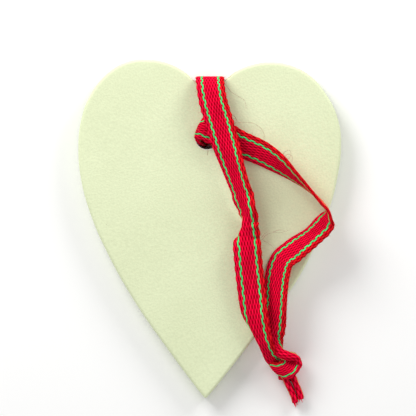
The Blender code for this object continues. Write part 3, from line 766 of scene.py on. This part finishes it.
def heart_mesh(lay):
    """The sanded board: a fine flat face on each side, rounded edges and a drilled hole with eased rims."""
    heart = lay.heart
    outline = heart_outline(heart)
    hole = (heart.hole_off_centre, lay.hole_y)
    radius = heart.hole_diameter / 2
    bm = bmesh.new()

    def loop(points, below):
        return [bm.verts.new((x, y, -below)) for x, y in points]

    def band(upper, lower):
        for k in range(len(upper)):
            after = (k + 1) % len(upper)
            bm.faces.new((upper[k], lower[k], lower[after], upper[after]))

    # The outer edge and the wall of the hole
    profile = side_profile(heart.edge_round, ROUNDING_STEPS, heart.thickness)
    sides = [loop(moved_in(outline, inset), depth) for depth, inset in profile]
    for upper, lower in zip(sides, sides[1:]):
        band(upper, lower)
    profile = side_profile(RIM_EASE, RIM_STEPS, heart.thickness)
    drilled = [loop(circle(hole, radius + out), depth) for depth, out in profile]
    for upper, lower in zip(drilled, drilled[1:]):
        band(lower, upper)

    # Each face is filled with small triangles between its outline and the hole
    xs = np.arange(-heart.width / 2, heart.width / 2, FACE_SPACING)
    ys = np.arange(-heart.length / 2, heart.length / 2, FACE_SPACING * 0.87)
    grid = np.array([(x + (k % 2) * FACE_SPACING / 2, y) for k, y in enumerate(ys) for x in xs])
    clear = np.linalg.norm(grid - np.array(hole), axis=1) > radius + RIM_EASE + 0.6 * FACE_SPACING
    for outer, inner, up in ((sides[0], drilled[0], True), (sides[-1], drilled[-1], False)):
        edge = np.array([vert.co[:2] for vert in outer])
        rim_points = np.array([vert.co[:2] for vert in inner])
        inside = grid[clear & within(grid, moved_in(edge, 0.7 * FACE_SPACING))]
        points = [Vector(p) for p in np.concatenate([edge, rim_points, inside])]
        loops = [list(range(len(edge))), list(range(len(edge), len(edge) + len(rim_points)))]
        flat, _, triangles, origins, _, _ = geometry.delaunay_2d_cdt(points, [], loops, 1, 1e-7)
        verts = []
        for co, source in zip(flat, origins):
            at = source[0] if source else None
            if at is None or at >= len(edge) + len(rim_points):
                verts.append(bm.verts.new((co.x, co.y, outer[0].co.z)))
            else:
                verts.append(outer[at] if at < len(edge) else inner[at - len(edge)])
        for triangle in triangles:
            middle = sum((flat[v] for v in triangle), Vector((0, 0))) / 3
            if (middle - Vector(hole)).length < radius + 0.5 * RIM_EASE:
                continue
            corners = [verts[v] for v in triangle]
            bm.faces.new(corners if up else corners[::-1])
    bm.transform(lay.board_matrix())
    mesh = bpy.data.meshes.new("painted_heart")
    bm.to_mesh(mesh)
    bm.free()
    mesh.shade_smooth()
    return mesh


def paint_material(lay):
    """Matt chalk paint: the eye sees a faint orange-peel mottle, a few pinholes and a pale ring round the
    hole.
    """
    heart = lay.heart
    material, tree, shader = new_material("chalk_paint_on_wood", roughness=0.72, ior=1.46, specular=0.25)
    local = add_node(tree, "TexCoord").outputs["Object"]
    place = add_node(tree, "VectorMath", {0: local, "Scale": 1 / MM}, operation="SCALE")

    # Orange peel is 0.6 mm wide, brush marks are 1.8 by 0.5 mm, and the coat varies over 25 mm
    peel = add_node(tree, "TexNoise", {"Vector": place, "Scale": 1.7, "Detail": 2.0, "Roughness": 0.5})
    brushed = add_node(tree, "Mapping", {
        "Vector": place, "Rotation": (0, 0, radians(20)), "Scale": (1.8, 0.5, 1.0),
    }, vector_type="TEXTURE")
    brush = add_node(tree, "TexNoise", {"Vector": brushed, "Scale": 1.0, "Detail": 1.0})
    coat = add_node(tree, "TexNoise", {"Vector": place, "Scale": 0.04, "Detail": 2.0})
    cover = add_node(tree, "MapRange", {"Value": coat, "From Min": 0.2, "From Max": 0.6})
    paint = add_node(tree, "Mix", {
        "Factor": cover, "A": (*heart.thin_paint, 1), "B": (*heart.paint, 1),
    }, data_type="RGBA")
    grain = add_node(tree, "MapRange", {
        "Value": peel, "From Min": 0.3, "From Max": 0.7, "To Min": 0.955, "To Max": 1.045,
    })
    mottled = add_node(tree, "HueSaturation", {"Color": paint, "Value": grain})

    # Pinholes: one in 16 of the 6 mm cells has one, under half a millimetre wide
    cells = add_node(tree, "TexVoronoi", {"Vector": place, "Scale": 1 / 6})
    chosen = add_node(tree, "SeparateColor", [cells.outputs["Color"]])
    rare = add_node(tree, "Math", [chosen, 1 / 16], operation="LESS_THAN")
    near = add_node(tree, "MapRange", {"Value": cells, "From Min": 0.055, "From Max": 0.02})
    pinhole = add_node(tree, "Math", [rare, near], operation="MULTIPLY")

    # A hairline crack runs 1.5 mm down the grain below the hole
    crack_top = lay.front(-0.42, lay.hole_y / MM - 3.4, 0) / MM
    crack_end = lay.front(-0.60, lay.hole_y / MM - 4.9, 0) / MM
    along = crack_end - crack_top
    from_top = add_node(tree, "VectorMath", [place, crack_top], operation="SUBTRACT")
    share = add_node(tree, "VectorMath", [from_top, along / along.length_squared], operation="DOT_PRODUCT")
    kept = add_node(tree, "Clamp", [share.outputs["Value"]])
    nearest = add_node(tree, "VectorMath", {0: along, "Scale": kept}, operation="SCALE")
    off = add_node(tree, "VectorMath", [from_top, nearest], operation="DISTANCE")
    crack = add_node(tree, "MapRange", {"Value": off.outputs["Value"], "From Min": 0.16, "From Max": 0.06})
    bare = add_node(tree, "Math", [pinhole, crack], operation="MAXIMUM")
    bare_share = add_node(tree, "Math", [bare, 0.55], operation="MULTIPLY")
    pitted = add_node(tree, "Mix", {
        "Factor": bare_share, "A": mottled, "B": (*heart.bare_wood, 1),
    }, data_type="RGBA")

    # The hole's rim has a thin paler ring, and the drilled wall is coloured dark as painted shade inside the
    # hole
    hole = lay.board_point(heart.hole_off_centre, lay.hole_y, 0) / MM
    flat = add_node(tree, "VectorMath", [place, (1, 1, 0)], operation="MULTIPLY")
    middle = (hole.x, hole.y, 0)
    from_hole = add_node(tree, "VectorMath", [flat, middle], operation="DISTANCE")
    radius = heart.hole_diameter / 2 / MM
    on_rim = add_node(tree, "MapRange", {
        "Value": from_hole.outputs["Value"], "From Min": radius + 0.40, "From Max": radius + 0.28,
    })
    paler = add_node(tree, "Mix", {"Factor": on_rim, "A": pitted, "B": (*heart.pale_rim, 1)}, data_type="RGBA")
    # Painted shade: the drilled wall is coloured dark for the shadow inside the hole
    in_hole = add_node(tree, "MapRange", {
        "Value": from_hole.outputs["Value"], "From Min": radius + 0.10, "From Max": radius + 0.04,
    })
    face = add_node(tree, "Mix", {
        "Factor": in_hole, "A": paler, "B": (*heart.painted_hole_shade, 1),
    }, data_type="RGBA")
    tree.links.new(face.outputs["Result"], shader.inputs["Base Color"])
    brushes = add_node(tree, "Math", [brush, 0.5, peel], operation="MULTIPLY_ADD")
    surface = add_node(tree, "Math", [bare, -1.0, brushes], operation="MULTIPLY_ADD")
    bump = add_node(tree, "Bump", {"Height": surface, "Strength": 0.7, "Distance": 0.10 * MM})
    tree.links.new(bump.outputs["Normal"], shader.inputs["Normal"])
    return material


def floor_material(stage):
    """Plain matt card."""
    material, _, shader = new_material("matt_card", roughness=0.9)
    shader.inputs["Base Color"].default_value = (*stage.floor, 1)
    return material


def shown(name, mesh, material, node):
    """Puts a finished piece in the scene in place of its CAD solid."""
    obj = bpy.data.objects.new(name, mesh)
    bpy.context.scene.collection.objects.link(obj)
    mesh.materials.append(material)
    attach(obj, "root")
    if node:
        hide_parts(node)
    return obj


def lay_of(context):
    return Lay(context.scene.ornament_heart, context.scene.ornament_ribbon)


class ORNAMENT_OT_stage(bpy.types.Operator):
    """Builds the floor, the lights and the camera that looks straight down"""

    bl_idname = "ornament.stage"
    bl_label = "Stage"

    def execute(self, context):
        stage = context.scene.ornament_stage
        scene = context.scene
        bpy.ops.mesh.primitive_plane_add(size=FLOOR_SIDE, location=(0, 0, -FLOOR_DROP))
        floor = context.object
        floor.name = "floor"
        floor.data.materials.append(floor_material(stage))
        for name, watts, width, place in (
            ("left_lamp", stage.left, 0.36, (-0.30, 0.38, 0.36)),
            ("right_lamp", stage.right, 0.30, (0.34, 0.36, 0.28)),
        ):
            light = bpy.data.lights.new(name, "AREA")
            light.shape = "DISK"
            light.size = width
            light.energy = watts
            lamp = bpy.data.objects.new(name, light)
            scene.collection.objects.link(lamp)
            lamp.location = place
            lamp.rotation_euler = Vector(place).to_track_quat("Z", "Y").to_euler()
        world = bpy.data.worlds.new("studio")
        scene.world = world
        world.use_nodes = True
        background = world.node_tree.nodes["Background"]
        background.inputs["Color"].default_value = (1, 1, 1, 1)
        background.inputs["Strength"].default_value = stage.fill
        lens = bpy.data.cameras.new("camera")
        lens.type = "ORTHO"
        lens.ortho_scale = PHOTO_SIDE * PIXEL
        camera = bpy.data.objects.new("camera", lens)
        scene.collection.objects.link(camera)
        right, down = (PHOTO_SIDE / 2 - middle for middle in PHOTO_MIDDLE)
        camera.location = (right * PIXEL, -down * PIXEL, CAMERA_HEIGHT)
        scene.camera = camera
        scene.view_settings.view_transform = "Standard"
        return {"FINISHED"}


class ORNAMENT_OT_heart(bpy.types.Operator):
    """Builds the painted board in place of its plain solid"""

    bl_idname = "ornament.heart"
    bl_label = "Painted heart"

    def execute(self, context):
        lay = lay_of(context)
        shown("painted_heart", heart_mesh(lay), paint_material(lay), "heart")
        return {"FINISHED"}


class ORNAMENT_OT_ribbon(bpy.types.Operator):
    """Builds the woven ribbon in place of its plain solid"""

    bl_idname = "ornament.ribbon"
    bl_label = "Woven ribbon"

    def execute(self, context):
        lay = lay_of(context)
        mesh, middle, length = ribbon_mesh(lay)
        ribbon = shown("woven_ribbon", mesh, ribbon_material(lay.ribbon), "ribbon")
        return {"FINISHED"}


class ORNAMENT_OT_fibres(bpy.types.Operator):
    """Builds the stray fibres and frayed threads of the ribbon"""

    bl_idname = "ornament.fibres"
    bl_label = "Stray fibres"

    def execute(self, context):
        lay = lay_of(context)
        shown("stray_fibres", fibre_mesh(lay), fibre_material(lay.ribbon), None)
        return {"FINISHED"}


class ORNAMENT_PT_panel(bpy.types.Panel):
    bl_label = "Heart ornament"
    bl_idname = "ORNAMENT_PT_panel"
    bl_space_type = "VIEW_3D"
    bl_region_type = "UI"
    bl_category = "Ornament"

    def draw(self, context):
        layout = self.layout
        for name in ("ornament_heart", "ornament_ribbon", "ornament_stage"):
            settings = getattr(context.scene, name)
            box = layout.box()
            for key in settings.__annotations__:
                box.prop(settings, key)
        for operator in OPERATORS:
            layout.operator(operator.bl_idname)


SETTINGS = (HeartSettings, RibbonSettings, StageSettings)
OPERATORS = (ORNAMENT_OT_stage, ORNAMENT_OT_ribbon, ORNAMENT_OT_fibres, ORNAMENT_OT_heart)


def register():
    for item in (*SETTINGS, *OPERATORS, ORNAMENT_PT_panel):
        bpy.utils.register_class(item)
    bpy.types.Scene.ornament_heart = PointerProperty(type=HeartSettings)
    bpy.types.Scene.ornament_ribbon = PointerProperty(type=RibbonSettings)
    bpy.types.Scene.ornament_stage = PointerProperty(type=StageSettings)


def unregister():
    del bpy.types.Scene.ornament_stage
    del bpy.types.Scene.ornament_ribbon
    del bpy.types.Scene.ornament_heart
    for item in (ORNAMENT_PT_panel, *reversed(OPERATORS), *reversed(SETTINGS)):
        bpy.utils.unregister_class(item)


def main():
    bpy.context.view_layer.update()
    register()
    bpy.ops.ornament.stage()
    bpy.ops.ornament.ribbon()
    bpy.ops.ornament.fibres()
    bpy.ops.ornament.heart()


if __name__ == "__main__":
    main()
